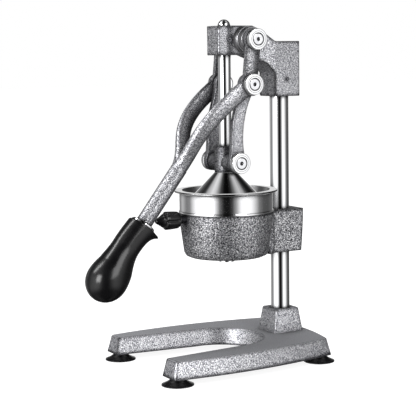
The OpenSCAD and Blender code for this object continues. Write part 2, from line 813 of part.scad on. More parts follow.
module crosshead() {
    edge = cross_r * 0.12;
    color("darkgray") difference() {
        union() {
            rotate_extrude() polygon([
                [0, cross_low_z], [cross_r, cross_low_z], [cross_r, cross_top_z - edge],
                [cross_r - edge, cross_top_z], [0, cross_top_z]]);
            translate([0, 0, low_z]) bar_x(boss_r, -boss_out_x, boss_out_x);
        }
        translate([0, 0, cross_low_z - over])
            cylinder(r = rod_r + fit, h = cross_top_z - cross_low_z + 2 * over);
        both_sides() translate([0, 0, low_z])
            bar_x(screw_d / 2 + fit, boss_out_x - screw_bite - seat, boss_out_x + over);
    }
}

module guide_rod() {
    color("gainsboro") difference() {
        union() {
            translate([0, 0, cross_low_z]) cylinder(r = rod_r, h = rod_top_z - rod_r - cross_low_z);
            translate([0, 0, rod_top_z - rod_r]) intersection() {
                sphere(r = rod_r);
                cylinder(r = rod_d, h = rod_d);
            }
        }
        translate([0, 0, cross_low_z - over])
            cylinder(d = cone_screw_d + 2 * fit, h = cone_screw_up + over);
    }
}

module press_cone() {
    top_z = cone_top_z;
    rim_top_z = cone_tip_z - cone_r / tan(cone_angle);
    low = rim_top_z - cone_rim_h;
    skin = cone_wall / cos(cone_angle);
    in_r = cone_r - cone_wall;
    in_top_r = cross_r * 0.8;
    color("gainsboro") difference() {
        rotate_extrude() polygon([
            [0, top_z], [cross_r, top_z], [cone_r, rim_top_z], [cone_r, low], [in_r, low],
            [in_r, rim_top_z + (cone_wall - skin) / tan(cone_angle)],
            [in_top_r, top_z - cone_plate], [0, top_z - cone_plate]]);
        translate([0, 0, top_z - cone_plate - over])
            cylinder(d = cone_screw_d + 2 * fit, h = cone_plate + 2 * over);
    }
}

module cone_screw() {
    under = cross_low_z - seat - cone_plate;
    head = cone_screw_d * 0.55;
    color("silver") difference() {
        union() {
            translate([0, 0, under - head]) cylinder(d = cone_screw_d * 1.6, h = head);
            translate([0, 0, under]) cylinder(d = cone_screw_d, h = cross_low_z + cone_screw_up - under - seat);
        }
        translate([0, 0, under - head]) mirror([0, 0, 1]) hex_socket(cone_screw_d * 0.6, head * 0.6);
    }
}

module funnel_cup() {
    top = rim_z - sheet - air;
    rim = rim_r - 2 * sheet;
    shelf = seat_z;
    neck_z = bowl_z + bowl_h * 0.45;
    neck_r = bowl_foot_r - bowl_wall - 2 * sheet;
    cone_z = bowl_z + bowl_floor + 2 * sheet;
    color("gainsboro") rotate_extrude() polygon([
        [spout_r, spout_z], [spout_r, cone_z], [neck_r, neck_z],
        [funnel_r - sheet, shelf - 2 * sheet], [funnel_r, shelf - sheet / 2], [funnel_r, shelf],
        [band_r + bead, shelf], [band_r + bead, shelf + 2 * bead],
        [band_r, shelf + 3 * bead], [band_r, top - 2 * sheet], [rim, top - sheet],
        [rim, top], [band_r - sheet, top - sheet], [band_r - sheet, shelf + sheet],
        [funnel_r - sheet, shelf + sheet], [funnel_r - 2 * sheet, shelf - sheet],
        [neck_r - sheet, neck_z + sheet / 2], [spout_r - sheet, cone_z + sheet / 2],
        [spout_r - sheet, spout_z]]);
}

// One ring of the fluted reamer, of radius r at height z
function reamer_ring(r, z) =
    [for (a = [0 : 5 : 355])
        let (q = r * (1 - 0.14 * pow(abs(sin(flutes * a / 2)), 0.8)))
        [q * cos(a), q * sin(a), z]];

module juice_reamer() {
    color("gainsboro") union() {
        loft([for (i = [0 : 10])
            let (t = i / 10)
            reamer_ring(reamer_r * sqrt(1 - 0.985 * pow(t, 1.5)), floor_z + seat + reamer_h * t)]);
        translate([0, 0, floor_z - sheet]) cylinder(d = spigot_d, h = 3 * sheet);
    }
}

// The strainer's wall, with its rolled rim and the bent foot that holds the floor
module strainer_cup() {
    lip = 1.8 * sheet;
    color("gainsboro") rotate_extrude() polygon([
        [floor_r, floor_z - sheet], [floor_r + sheet / 2, floor_z - sheet],
        [strainer_foot_r + sheet, floor_z + floor_bend],
        [strainer_top_r + sheet, rim_z - sheet], [rim_r - sheet, rim_z - sheet],
        [rim_r - sheet, rim_z - lip], [rim_r, rim_z - lip],
        [rim_r, rim_z - sheet / 2], [rim_r - sheet / 2, rim_z], [strainer_top_r, rim_z],
        [strainer_foot_r, floor_z + floor_bend], [floor_r, floor_z]]);
}

// The slotted floor plate that carries the reamer
module strainer_floor() {
    slot_w = 2 * sheet;
    color("gainsboro") translate([0, 0, floor_z - sheet]) difference() {
        cylinder(r = floor_r - fit, h = sheet);
        translate([0, 0, -over]) cylinder(d = spigot_d + 2 * fit, h = sheet + 2 * over);
        for (i = [0 : slots - 1])
            rotate([0, 0, i * 360 / slots])
                translate([reamer_r + slot_w, -slot_w / 2, -over])
                    cube([floor_r - reamer_r - 2 * slot_w, slot_w, sheet + 2 * over]);
    }
}

// Plan of the holder's arm: a block round the column with hollow fillets into the bowl
module arm_plan() {
    h = arm_w / 2;
    f = arm_w / 6;
    y0 = bowl_foot_r * 0.7;
    meet = sqrt(pow(bowl_r, 2) - pow(h, 2)) - f / 3;
    difference() {
        union() {
            offset(r = f / 2, $fn = 32) offset(delta = -f / 2)
                translate([-h, y0]) square([arm_w, arm_back_y - y0]);
            translate([-h - f, meet - f]) square([arm_w + 2 * f, 2 * f]);
        }
        for (s = [-1, 1])
            translate([s * (h + f), meet + f]) circle(r = f);
    }
}

module cup_holder() {
    top = seat_z - seat;
    bend = bowl_wall;
    in_r = bowl_r - bowl_wall;
    in_foot_r = bowl_foot_r - bowl_wall;
    color("darkgray") difference() {
        union() {
            rotate_extrude() polygon([
                [0, bowl_z], [bowl_foot_r - bend, bowl_z], [bowl_foot_r - 0.3 * bend, bowl_z + 0.3 * bend],
                [bowl_foot_r + 0.1 * bend, bowl_z + bend], [bowl_r, top - bend], [bowl_r, top], [0, top]]);
            intersection() {
                translate([0, 0, arm_z]) linear_extrude(height = arm_h) arm_plan();
                plate_x(-arm_w, arm_w) polygon([
                    [0, arm_z - over], [arm_back_y - arm_lean, arm_z - over],
                    [arm_back_y, arm_z + arm_h + over], [0, arm_z + arm_h + over]]);
            }
            translate([0, 0, knob_z]) rotate([90, 0, 0]) cylinder(r = knob_boss_r, h = boss_y);
        }
        rotate_extrude() polygon([
            [0, bowl_z + bowl_floor], [in_foot_r, bowl_z + bowl_floor],
            [in_r, top - bend], [in_r, top + over], [0, top + over]]);
        translate([0, 0, bowl_z - over]) cylinder(r = 2.4 * spout_r, h = bowl_floor + 2 * over);
        translate([0, col_y, arm_z - over]) cylinder(d = col_d + 2 * fit, h = arm_h + 2 * over);
        translate([0, 0, knob_z]) rotate([90, 0, 0]) cylinder(d = stud_d + 2 * fit, h = boss_y + over);
        translate([0, col_y, arm_z + arm_h / 2]) rotate([-90, 0, 0])
            cylinder(d = grub_d + 2 * fit, h = arm_behind + over);
    }
}

module holder_set_screw() {
    color("dimgray") translate([0, col_y, arm_z + arm_h / 2]) rotate([0, 0, 90])
        grub_screw(col_d / 2 + 2 * fit, arm_behind - arm_lean / 2 - grub_sink);
}

// The knob's screw, which bears on the wall of the funnel cup
module knob_stud() {
    tip = funnel_r + air;
    color("silver") translate([0, -tip, knob_z]) rotate([90, 0, 0])
        cylinder(d = stud_d, h = knob_y + knob_len / 2 - tip);
}

module clamp_knob() {
    barrel = knob_len * 0.62;
    flute_r = knob_r * 0.42;
    color([0.07, 0.07, 0.08]) translate([0, -knob_y, knob_z]) rotate([90, 0, 0]) difference() {
        rotate_extrude() polygon([
            [0, 0], [knob_r * 0.8, 0], [knob_r * 0.9, knob_len * 0.05], [knob_r * 0.92, knob_len * 0.2],
            [knob_r, knob_len * 0.48], [knob_r * 0.97, knob_len * 0.58], [knob_r * 0.84, barrel],
            [knob_r * 0.36, knob_len * 0.94], [knob_r * 0.24, knob_len], [0, knob_len]]);
        for (i = [0 : 5])
            rotate([0, 0, 60 * i]) translate([knob_r * 1.2, 0, -over])
                cylinder(r = flute_r, h = barrel + over);
        translate([0, 0, -over]) cylinder(d = stud_d + 2 * fit, h = knob_len / 2 + over + seat);
    }
}

base();
suction_feet();
foot_studs();
column();
column_bolt();
column_washer();
head_bracket();
bracket_set_screws();
guide_bush();
upper_spacer_rings();
upper_pivot_collars();
upper_pivot_screws();
cup_holder();
holder_set_screw();
funnel_cup();
strainer_cup();
strainer_floor();
juice_reamer();
knob_stud();
clamp_knob();
lever_yoke();
grip_ferrule();
handle_grip();
middle_pivot_collars();
middle_pivot_screws();
left_link();
right_link();
left_link_nut();
right_link_nut();
crosshead();
guide_rod();
press_cone();
cone_screw();
lower_pivot_collars();
lower_pivot_screws();
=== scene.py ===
"""Lever citrus juice press: camera, light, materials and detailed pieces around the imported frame.

Metres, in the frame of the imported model: the press rod stands on the Z axis, the column is
behind it on +Y, and the feet stand on z = 0.
"""

import json
import math

import bmesh
import bpy
from mathutils import Matrix, Vector

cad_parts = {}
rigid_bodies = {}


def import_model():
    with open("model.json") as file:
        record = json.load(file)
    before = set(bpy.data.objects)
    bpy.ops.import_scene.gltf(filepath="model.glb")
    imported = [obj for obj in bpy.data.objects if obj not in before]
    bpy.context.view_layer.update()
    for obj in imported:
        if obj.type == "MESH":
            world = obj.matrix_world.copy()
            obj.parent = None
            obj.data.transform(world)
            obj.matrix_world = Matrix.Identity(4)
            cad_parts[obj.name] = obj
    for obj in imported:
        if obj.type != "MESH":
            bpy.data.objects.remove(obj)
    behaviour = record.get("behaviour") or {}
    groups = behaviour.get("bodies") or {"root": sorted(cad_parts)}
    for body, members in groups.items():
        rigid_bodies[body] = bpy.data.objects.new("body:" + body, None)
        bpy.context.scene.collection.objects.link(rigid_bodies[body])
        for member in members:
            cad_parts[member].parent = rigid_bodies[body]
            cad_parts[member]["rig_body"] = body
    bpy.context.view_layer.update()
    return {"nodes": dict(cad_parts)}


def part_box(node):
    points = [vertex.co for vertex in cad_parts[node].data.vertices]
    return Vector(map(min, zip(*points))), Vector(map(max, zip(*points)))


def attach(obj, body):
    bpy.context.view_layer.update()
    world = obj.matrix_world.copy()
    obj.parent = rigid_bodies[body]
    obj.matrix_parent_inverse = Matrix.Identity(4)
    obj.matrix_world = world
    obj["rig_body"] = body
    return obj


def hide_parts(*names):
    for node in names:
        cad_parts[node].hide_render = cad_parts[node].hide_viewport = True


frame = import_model()
nodes = frame["nodes"]
scene = bpy.context.scene
scene.view_settings.view_transform = "Standard"

# The camera stands in front of the press and to its right. Its lens and sensor are in mm.
CAMERA_TURN = math.radians(60.53)
CAMERA_PITCH = math.radians(6.64)
CAMERA_ROLL = math.radians(-0.77)
CAMERA_DISTANCE = 1.46704
CAMERA_SIDE = -0.02069
CAMERA_HEIGHT = 0.17791
CAMERA_LENS = 110.61
CAMERA_SENSOR = 36
CAMERA_CLIP_END = 60

flat_front = Vector((math.sin(CAMERA_TURN), -math.cos(CAMERA_TURN), 0))
flat_right = Vector((math.cos(CAMERA_TURN), math.sin(CAMERA_TURN), 0))
straight_up = Vector((0, 0, 1))


def make_camera():
    forward = -flat_front * math.cos(CAMERA_PITCH) - straight_up * math.sin(CAMERA_PITCH)
    up = flat_right.cross(forward)
    right = math.cos(CAMERA_ROLL) * flat_right + math.sin(CAMERA_ROLL) * up
    tilted_up = math.cos(CAMERA_ROLL) * up - math.sin(CAMERA_ROLL) * flat_right
    camera = bpy.data.objects.new("camera", bpy.data.cameras.new("camera"))
    camera.data.lens = CAMERA_LENS
    camera.data.sensor_width = CAMERA_SENSOR
    camera.data.clip_end = CAMERA_CLIP_END
    turn = Matrix((right, tilted_up, -forward)).transposed().to_4x4()
    place = straight_up * CAMERA_HEIGHT - forward * CAMERA_DISTANCE + flat_right * CAMERA_SIDE
    camera.matrix_world = Matrix.Translation(place) @ turn
    scene.collection.objects.link(camera)
    scene.camera = camera


make_camera()


# Numbers of the Mix node's sockets for colours and for single values: first, second, result
COLOR_SOCKETS = (6, 7, 2)
VALUE_SOCKETS = (2, 3, 0)
SHELTER_SAMPLES = 6


class Tree:
    """Short calls that add nodes to a node tree and join their sockets."""

    def __init__(self, tree):
        self.tree = tree

    def add(self, kind, **settings):
        node = self.tree.nodes.new(kind)
        for name, value in settings.items():
            setattr(node, name, value)
        return node

    def put(self, value, socket):
        """Links a socket's output, or sets a plain value."""
        if isinstance(value, bpy.types.NodeSocket):
            self.tree.links.new(value, socket)
        else:
            socket.default_value = value

    def math(self, operation, a, b=0.0, c=0.0):
        node = self.add("ShaderNodeMath", operation=operation)
        for value, socket in zip((a, b, c), node.inputs):
            self.put(value, socket)
        return node.outputs[0]

    def smooth(self, value, low, high, to_low=0.0, to_high=1.0):
        """Runs softly from to_low, where the value is low, to to_high, where it is high."""
        node = self.add("ShaderNodeMapRange", interpolation_type="SMOOTHSTEP")
        for number, entry in enumerate((value, low, high, to_low, to_high)):
            self.put(entry, node.inputs[number])
        return node.outputs[0]

    def dot(self, vector, direction):
        node = self.add("ShaderNodeVectorMath", operation="DOT_PRODUCT")
        self.put(vector, node.inputs[0])
        self.put(direction, node.inputs[1])
        return node.outputs["Value"]

    def mix_data(self, kind, sockets, factor, a, b):
        first, second, result = sockets
        node = self.add("ShaderNodeMix", data_type=kind)
        self.put(factor, node.inputs["Factor"])
        self.put(a, node.inputs[first])
        self.put(b, node.inputs[second])
        return node.outputs[result]

    def mix(self, factor, a, b):
        """A colour from a, where the factor is 0, to b, where it is 1."""
        return self.mix_data("RGBA", COLOR_SOCKETS, factor, a, b)

    def blend(self, factor, a, b):
        """The same as mix, for single values."""
        return self.mix_data("FLOAT", VALUE_SOCKETS, factor, a, b)

    def ramp(self, value, stops):
        """A colour ramp through stops: each has a place and a grey or a colour."""
        node = self.add("ShaderNodeValToRGB")
        ramp = node.color_ramp
        while len(ramp.elements) < len(stops):
            ramp.elements.new(1.0)
        for element, (place, tone) in zip(ramp.elements, stops):
            element.position = place
            element.color = (*tone, 1.0) if isinstance(tone, tuple) else (tone, tone, tone, 1.0)
        self.put(value, node.inputs[0])
        return node.outputs[0]

    def noise(self, vector, scale, detail=2.0, distortion=0.0):
        node = self.add("ShaderNodeTexNoise")
        self.put(vector, node.inputs["Vector"])
        for name, value in (("Scale", scale), ("Detail", detail), ("Distortion", distortion)):
            node.inputs[name].default_value = value
        return node.outputs[0]

    def stretch(self, vector, scale):
        node = self.add("ShaderNodeMapping")
        self.put(vector, node.inputs["Vector"])
        node.inputs["Scale"].default_value = scale
        return node.outputs[0]

    def shelter(self, distance, inside=False):
        """Ambient occlusion: 1 in the open, 0 in a crease; with inside set, 0 at a sharp edge."""
        node = self.add("ShaderNodeAmbientOcclusion", samples=SHELTER_SAMPLES, inside=inside,
                        only_local=inside)
        node.inputs["Distance"].default_value = distance
        return node.outputs["AO"]


class Finish(Tree):
    """A principled material. The scales of its noises are in features to the metre."""

    def __init__(self, name, metallic, roughness=0.5):
        self.material = bpy.data.materials.new(name)
        self.material.use_nodes = True
        super().__init__(self.material.node_tree)
        self.inputs = self.tree.nodes["Principled BSDF"].inputs
        self.inputs["Metallic"].default_value = metallic
        self.inputs["Roughness"].default_value = roughness
        coordinates = self.add("ShaderNodeTexCoord")
        self.place = coordinates.outputs["Object"]
        self.normal = coordinates.outputs["Normal"]

    def colour(self, factor, a, b):
        """Colours from a, where the factor is 0, to b, where it is 1."""
        self.put(self.mix(factor, a, b), self.inputs["Base Color"])

    def rough(self, value, low, high, to_low, to_high):
        """Roughness from to_low, where the value is low, to to_high, where it is high."""
        self.put(self.smooth(value, low, high, to_low, to_high), self.inputs["Roughness"])

    def bump(self, height, strength, distance):
        """Relief of a height that runs from 0 to 1 over the distance."""
        node = self.add("ShaderNodeBump")
        self.put(height, node.inputs["Height"])
        self.put(strength, node.inputs["Strength"])
        node.inputs["Distance"].default_value = distance
        self.put(node.outputs[0], self.inputs["Normal"])


PAINT_METALLIC = 0.72
# Colour of the painted shade in creases, in recesses and along sharp edges
PAINT_SHADE_TONE = (0.012, 0.012, 0.014, 1)
PAINT_SPECULAR = (0.04, 0.04, 0.045, 1)
DRIFT_SCALE = 30
DRIFT_SHARE = 0.08
CALM_SHARE = 0.8
# Reaches of the painted shade in recesses and along sharp edges
RECESS_REACH = 0.12
EDGE_REACH = 0.005
PAINT_RELIEF = 0.0004
CHROME_TONE = (0.95, 0.955, 0.97, 1)
# Scales of lines that run round an axis: close along it, and long round it
TURNED_ALONG = 1400
TURNED_ROUND = 8


def hammertone(name, tone, low, high, deep, near=0.02, line=0.1, fine=930):
    """Silver-grey hammertone paint with fine dark veins and painted shade: dark in creases,
    in recesses and along sharp edges. The veins run from low to high, the painted shade of a
    sheltered face goes down to deep, a crease is shaded within near metres, the painted shade of
    an edge goes down to line, and fine is the scale of the veins. A face that looks up is calmer
    and paler."""
    paint = Finish(name, PAINT_METALLIC)
    grain = paint.noise(paint.place, fine, detail=0.6, distortion=0.5)
    drift = paint.noise(paint.place, DRIFT_SCALE)
    veins = paint.math("MULTIPLY_ADD", paint.math("SUBTRACT", drift, 0.5), DRIFT_SHARE, grain)
    speckle = paint.ramp(veins, [(0.36, (low, low, low * 1.12)),
                                 (0.47, (tone * 0.68, tone * 0.682, tone * 0.735)),
                                 (0.56, (tone * 1.04, tone * 1.045, tone * 1.095)),
                                 (0.68, (high, high, high * 1.02))])
    top = paint.smooth(paint.dot(paint.normal, (0, 0, 1)), 0.55, 0.95)
    calm = paint.math("MULTIPLY", top, CALM_SHARE)
    open_tone = paint.mix(calm, speckle, (tone * 1.15, tone * 1.16, tone * 1.22, 1))
    # Painted shade from ambient occlusion: darker in creases, in recesses and along sharp edges
    crease = paint.smooth(paint.shelter(near), 0.25, 0.95, to_low=0.1)
    recess = paint.smooth(paint.shelter(RECESS_REACH), 0.35, 1.0, to_low=deep)
    edge = paint.smooth(paint.shelter(EDGE_REACH, inside=True), 0.62, 0.86, to_low=line)
    shade = paint.math("MULTIPLY", paint.math("MULTIPLY", crease, recess), edge)
    paint.inputs["Specular Tint"].default_value = PAINT_SPECULAR
    paint.colour(shade, PAINT_SHADE_TONE, open_tone)
    paint.rough(veins, 0.35, 0.65, to_low=0.46, to_high=0.34)
    strength = paint.smooth(top, 0.0, 1.0, to_low=0.4, to_high=0.16)
    paint.bump(veins, strength, PAINT_RELIEF)
    return paint.material


def chrome():
    """Mirror plating with painted shade: dark where it touches or comes near to another part."""
    plate = Finish("chrome_plate", metallic=1.0)
    # Painted shade where the plating touches or comes near to another part
    contact_shade = plate.smooth(plate.shelter(0.004), 0.5, 0.95)
    near = plate.smooth(plate.shelter(0.022), 0.3, 0.9, to_low=0.12)
    plate.colour(plate.math("MULTIPLY", contact_shade, near), (0.01, 0.01, 0.011, 1), CHROME_TONE)
    haze = plate.noise(plate.place, 60, detail=3.0)
    plate.rough(haze, 0.3, 0.75, to_low=0.03, to_high=0.07)
    ripple = plate.noise(plate.place, 30, detail=1.0)
    plate.bump(ripple, strength=0.02, distance=0.002)
    return plate.material


def stainless(name, grey):
    """Polished sheet with faint lines from spinning, which run round the vertical axis."""
    sheet = Finish(name, metallic=1.0)
    # Painted shade: the sheet goes dark where it touches or nears another part
    contact_shade = sheet.smooth(sheet.shelter(0.006), 0.5, 0.97)
    sheet.colour(contact_shade, (0.02, 0.02, 0.022, 1), (grey, grey, grey * 1.016, 1))
    sheet.rough(sheet.noise(sheet.place, 45), 0.3, 0.7, to_low=0.07, to_high=0.12)
    spun = sheet.stretch(sheet.place, (TURNED_ROUND, TURNED_ROUND, TURNED_ALONG))
    sheet.bump(sheet.noise(spun, 1.0), strength=0.04, distance=0.0002)
    return sheet.material


def screw_steel():
    """Bright zinc plating of the screws, the studs, the bolt and its washer."""
    steel = Finish("zinc_steel", metallic=1.0)
    tint = steel.noise(steel.place, 260)
    bare = steel.mix(tint, (0.72, 0.73, 0.76, 1), (0.9, 0.9, 0.92, 1))
    # Painted shade: dark where the plating touches another part and down in the hex sockets
    contact_shade = steel.smooth(steel.shelter(0.004), 0.5, 0.95)
    steel.colour(contact_shade, (0.006, 0.006, 0.007, 1), bare)
    steel.rough(tint, 0.3, 0.7, to_low=0.16, to_high=0.26)
    return steel.material


def turned_steel():
    """Turned spacer rings, less polished than the collars, with lines that run round X."""
    steel = Finish("turned_steel", metallic=1.0)
    turned = steel.stretch(steel.place, (TURNED_ALONG, TURNED_ROUND, TURNED_ROUND))
    lines = steel.noise(turned, 1.0)
    bare = steel.mix(lines, (0.24, 0.24, 0.25, 1), (0.5, 0.5, 0.52, 1))
    # Painted shade: dark where the rings touch or come near to another part
    contact_shade = steel.smooth(steel.shelter(0.006), 0.4, 0.95)
    steel.colour(contact_shade, (0.008, 0.008, 0.009, 1), bare)
    steel.rough(lines, 0.3, 0.7, to_low=0.24, to_high=0.34)
    return steel.material


def dark_steel():
    """Blackened steel of the grub screws, under a film of oil."""
    steel = Finish("oiled_steel", metallic=0.9, roughness=0.35)
    tint = steel.noise(steel.place, 500, detail=3.0)
    bare = steel.mix(tint, (0.1, 0.1, 0.11, 1), (0.26, 0.26, 0.28, 1))
    # Painted shade: dark where the screw sits in its hole
    contact_shade = steel.smooth(steel.shelter(0.002), 0.45, 0.9)
    steel.colour(contact_shade, (0.01, 0.01, 0.011, 1), bare)
    steel.bump(tint, strength=0.2, distance=0.0002)
    return steel.material


def bronze():
    """Sintered bronze of the rod's bush, with fine pores."""
    metal = Finish("sintered_bronze", metallic=1.0, roughness=0.32)
    tint = metal.noise(metal.place, 900, detail=3.0)
    metal.colour(tint, (0.36, 0.26, 0.13, 1), (0.58, 0.44, 0.24, 1))
    metal.bump(tint, strength=0.15, distance=0.0002)
    return metal.material


def black_gloss():
    """Glossy moulded plastic with a faint orange-peel skin."""
    plastic = Finish("black_gloss_plastic", metallic=0.0)
    plastic.inputs["Specular IOR Level"].default_value = 0.4
    cloud = plastic.noise(plastic.place, 70)
    plastic.colour(cloud, (0.0025, 0.0025, 0.003, 1), (0.006, 0.006, 0.0065, 1))
    plastic.rough(cloud, 0.25, 0.75, to_low=0.19, to_high=0.25)
    peel = plastic.noise(plastic.place, 420, detail=1.0)
    plastic.bump(peel, strength=0.02, distance=0.0004)
    return plastic.material


def black_rubber():
    """Moulded rubber of the feet, dull in patches."""
    rubber = Finish("black_rubber", metallic=0.0)
    dust = rubber.noise(rubber.place, 240, detail=4.0)
    rubber.colour(dust, (0.003, 0.003, 0.0035, 1), (0.012, 0.012, 0.013, 1))
    rubber.rough(dust, 0.3, 0.7, to_low=0.18, to_high=0.3)
    rubber.bump(rubber.noise(rubber.place, 900), strength=0.08, distance=0.0003)
    return rubber.material


looks = {
    "hammered": hammertone("hammertone_paint", tone=0.44, low=0.09, high=0.84, deep=0.2),
    "chrome": chrome(),
    "stainless": stainless("stainless_sheet", grey=0.92),
    "screw_steel": screw_steel(),
    "dark_steel": dark_steel(),
    "bush_bronze": bronze(),
    "black_gloss": black_gloss(),
    "black_rubber": black_rubber(),
}
# Finishes for single nodes: lit and shaded copies of the paint and the sheet, which paint light
# # and shade into the colour. The base, the bracket and the links come out paler, and the holder,
# # the lever and the strainer darker. The spacer rings get their own turned steel.
lit_links_paint = hammertone("hammertone_paint_links_lit", tone=0.52, low=0.12, high=0.92, deep=0.3,
                         line=0.35, fine=1040)
node_finishes_and_light_copies = {
    "base": hammertone("hammertone_paint_base_lit", tone=0.60, low=0.12, high=1.0, deep=0.72),
    "head_bracket": hammertone("hammertone_paint_bracket_lit", tone=0.43, low=0.07, high=0.88,
                               deep=0.7, near=0.008, fine=1100),
    # Painted shade: a darker copy of the paint for the cup holder
    "cup_holder": hammertone("hammertone_paint_holder_shaded", tone=0.34, low=0.015, high=1.0,
                             deep=0.05),
    # Painted shade: a darker copy with deep shade in the lever's recesses, which darkens its far
    # arm
    "lever_yoke": hammertone("hammertone_paint_lever_shaded", tone=0.42, low=0.06, high=0.9,
                             deep=0.06, near=0.012, line=0.5, fine=1000),
    "left_link": lit_links_paint,
    "right_link": lit_links_paint,
    "upper_spacer_rings": turned_steel(),
    # Painted shade: a darker copy of the sheet for the strainer
    "strainer_cup": stainless("stainless_strainer_shaded", grey=0.34),
}
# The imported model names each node's slot in the material that it carries.
slot_of = {name: node.material_slots[0].material.name.split(".")[0]
           for name, node in nodes.items()}


def finish_of(node):
    return node_finishes_and_light_copies.get(node, looks[slot_of[node]])


for name, node in nodes.items():
    for place in node.material_slots:
        place.material = finish_of(name)


# Plain light from all round, and lamps that all point at the middle of the press
AMBIENT = 0.34
LAMP_TARGET = Vector((0, -0.02, 0.2))
LAMP_DISTANCE = 1.7


def softbox(name, way, size, radiance):
    """An area lamp; way leads to it: towards the camera, to the camera's right, and up."""
    width, height = size
    data = bpy.data.lights.new(name, "AREA")
    data.shape = "RECTANGLE"
    data.size = width
    data.size_y = height
    data.energy = radiance * math.pi * width * height
    lamp = bpy.data.objects.new(name, data)
    front, side, up = way
    outward = (flat_front * front + flat_right * side + straight_up * up).normalized()
    lamp.location = LAMP_TARGET + outward * LAMP_DISTANCE
    lamp.rotation_euler = (-outward).to_track_quat("-Z", "Y").to_euler()
    scene.collection.objects.link(lamp)
    return lamp


softbox("softbox_left", way=(0.72, -0.64, 0.26), size=(0.64, 0.88), radiance=10.2)
softbox("softbox_left_high", way=(0.04, -0.74, 0.67), size=(0.3, 0.8), radiance=12.0)
softbox("softbox_right", way=(0.67, 0.52, 0.40), size=(0.8, 1.0), radiance=5.0)
# The rear lamp lights the paint's upper faces only; the chrome doesn't show it.
rear = softbox("softbox_rear", way=(-0.5, 0.1, 0.8), size=(0.9, 1.0), radiance=6.0)
rear.visible_glossy = False


# Brightness of the studio round the object, by the angle in degrees from the camera's side:
# minus is to the camera's left. Dark in front and at the back edges, white at both sides.
STUDIO_ROUND = (
    (-180, 0.15), (-162, 0.2), (-150, 0.3), (-135, 0.5), (-114, 0.2), (-100, 0.25),
    (-90, 0.7), (-80, 1.1), (-64, 1.4), (-48, 1.9), (-34, 1.5), (-25, 0.75), (-16, 0.15),
    (-6, 0.01), (6, 0.004), (15, 0.05), (25, 0.38), (35, 1.0), (48, 1.4), (66, 1.0),
    (77, 0.6), (88, 0.2), (104, 0.09), (124, 0.08), (150, 0.14), (162, 0.2), (180, 0.15),
)
STEEP_BEND = 0.7
REAR_DIMMING = -0.8


def make_world():
    """White for the camera, a plain ambient for diffuse light, and a studio for reflections."""
    world = bpy.data.worlds.new("studio")
    scene.world = world
    world.use_nodes = True
    world.cycles.sampling_method = "NONE"
    tree = Tree(world.node_tree)
    world.node_tree.nodes.clear()
    way = tree.add("ShaderNodeTexCoord").outputs["Generated"]
    side = tree.dot(way, flat_right)
    front = tree.dot(way, flat_front)
    up = tree.dot(way, (0, 0, 1))

    # A steep way counts as nearer to the camera's side, so that the stripes bend round a dome.
    reach = tree.math("MULTIPLY_ADD", tree.math("MULTIPLY", up, up), STEEP_BEND, front)
    turn = tree.math("ARCTAN2", side, reach)
    share = tree.math("MULTIPLY_ADD", turn, 0.5 / math.pi, 0.5)
    studio = tree.ramp(share, [(angle / 360 + 0.5, level) for angle, level in STUDIO_ROUND])

    # Darker from below, from above and from high up behind, and white right behind the object.
    below = tree.smooth(up, -0.75, -0.3, to_low=0.1)
    ceiling = tree.smooth(up, 0.25, 0.6, to_low=1.0, to_high=0.42)
    studio = tree.math("MULTIPLY", studio, tree.math("MULTIPLY", below, ceiling))
    behind = tree.math("MULTIPLY", tree.smooth(front, -0.3, -0.6), tree.smooth(up, 0.2, 0.45))
    dimmed = tree.math("MULTIPLY_ADD", behind, REAR_DIMMING, 1.0)
    studio = tree.math("MULTIPLY", studio, dimmed)
    studio = tree.math("MAXIMUM", studio, tree.smooth(front, -0.955, -0.985))

    path = tree.add("ShaderNodeLightPath")
    level = tree.blend(path.outputs["Is Glossy Ray"], AMBIENT, studio)
    seen = tree.math("MAXIMUM", path.outputs["Is Camera Ray"],
                     path.outputs["Is Transmission Ray"])
    level = tree.blend(seen, level, 1.0)
    back = tree.add("ShaderNodeBackground")
    back.inputs["Color"].default_value = (1, 1, 1, 1)
    tree.put(level, back.inputs["Strength"])
    out = tree.add("ShaderNodeOutputWorld")
    tree.put(back.outputs[0], out.inputs["Surface"])


make_world()


FLOOR_HALF = 14.0
FLOOR_TONE = (0.8, 0.8, 0.8, 1)
SEEN_FLOOR_TONE = (0.34, 0.34, 0.345, 1)
SEEN_FLOOR_GLOW = 0.9


def make_floor():
    """A pale floor that reads white to the camera and still keeps the object's soft shadow."""
    half = FLOOR_HALF
    mesh = bpy.data.meshes.new("floor")
    mesh.from_pydata([(-half, -half, 0), (half, -half, 0), (half, half, 0), (-half, half, 0)], [],
                     [(0, 1, 2, 3)])
    floor = bpy.data.objects.new("floor", mesh)
    scene.collection.objects.link(floor)
    floor.visible_glossy = False
    material = bpy.data.materials.new("pale_floor")
    material.use_nodes = True
    tree = Tree(material.node_tree)
    material.node_tree.nodes.clear()
    bare = tree.add("ShaderNodeBsdfDiffuse")
    bare.inputs["Color"].default_value = FLOOR_TONE
    pale = tree.add("ShaderNodeBsdfDiffuse")
    pale.inputs["Color"].default_value = SEEN_FLOOR_TONE
    glow = tree.add("ShaderNodeEmission")
    glow.inputs["Strength"].default_value = SEEN_FLOOR_GLOW
    lit = tree.add("ShaderNodeAddShader")
    tree.put(pale.outputs[0], lit.inputs[0])
    tree.put(glow.outputs[0], lit.inputs[1])
    path = tree.add("ShaderNodeLightPath")
    pick = tree.add("ShaderNodeMixShader")
    tree.put(path.outputs["Is Camera Ray"], pick.inputs[0])
    tree.put(bare.outputs[0], pick.inputs[1])
    tree.put(lit.outputs[0], pick.inputs[2])
    out = tree.add("ShaderNodeOutputMaterial")
    tree.put(pick.outputs[0], out.inputs["Surface"])
    mesh.materials.append(material)


make_floor()


